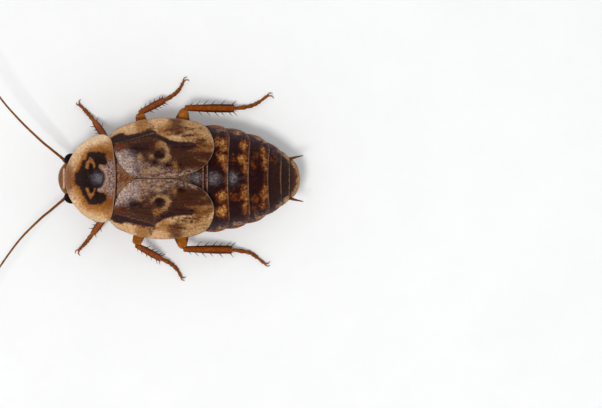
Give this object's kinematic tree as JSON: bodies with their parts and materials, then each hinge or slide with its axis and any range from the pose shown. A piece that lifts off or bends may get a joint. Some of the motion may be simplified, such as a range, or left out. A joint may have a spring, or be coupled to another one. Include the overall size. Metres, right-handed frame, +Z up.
{
  "type": "discoid roach",
  "caption": "Still, life-size model of a short-winged discoid roach standing on its spined legs, with a domed shield over the head, a plated abdomen and long feelers.",
  "frame": {"origin": "on the floor under the middle of the bounding box", "axes": "-X is the way the animal faces, +Y its right side, +Z up from the floor it stands on"},
  "size_m": [0.0364, 0.0341, 0.0067],
  "materials": {
    "pronotum": "glossy tan horny plate with a dark patch",
    "wing": "satin leathery wing, cream and dark brown, with raised veins",
    "thorax": "satin brown horny plates",
    "abdomen": "glossy dark brown overlapping plates with orange flecks",
    "head": "glossy brown horny capsule",
    "palp": "satin light brown",
    "eye": "glossy black",
    "antenna": "satin reddish brown, ringed",
    "coxa": "satin light brown plates",
    "femur": "glossy orange brown",
    "tibia": "glossy reddish brown with darker spines",
    "foot": "satin reddish brown, paler claws",
    "cercus": "satin brown, ringed"
  },
  "bodies": {
    "root": {"head": "head", "palp_right": "palp", "palp_left": "palp", "eye_right": "eye", "eye_left": "eye", "pronotum": "pronotum", "thorax": "thorax", "abdomen": "abdomen", "wing_right": "wing", "wing_left": "wing", "cercus_right": "cercus", "cercus_left": "cercus", "antenna_right_scape": "antenna", "antenna_right_whip": "antenna", "antenna_right_tip": "antenna", "antenna_left_scape": "antenna", "antenna_left_whip": "antenna", "antenna_left_tip": "antenna", "coxa_front_right": "coxa", "femur_front_right": "femur", "tibia_front_right": "tibia", "foot_front_right": "foot", "coxa_front_left": "coxa", "femur_front_left": "femur", "tibia_front_left": "tibia", "foot_front_left": "foot", "coxa_mid_right": "coxa", "femur_mid_right": "femur", "tibia_mid_right": "tibia", "foot_mid_right": "foot", "coxa_mid_left": "coxa", "femur_mid_left": "femur", "tibia_mid_left": "tibia", "foot_mid_left": "foot", "coxa_hind_right": "coxa", "femur_hind_right": "femur", "tibia_hind_right": "tibia", "foot_hind_right": "foot", "coxa_hind_left": "coxa", "femur_hind_left": "femur", "tibia_hind_left": "tibia", "foot_hind_left": "foot"}
  },
  "joints": []
}
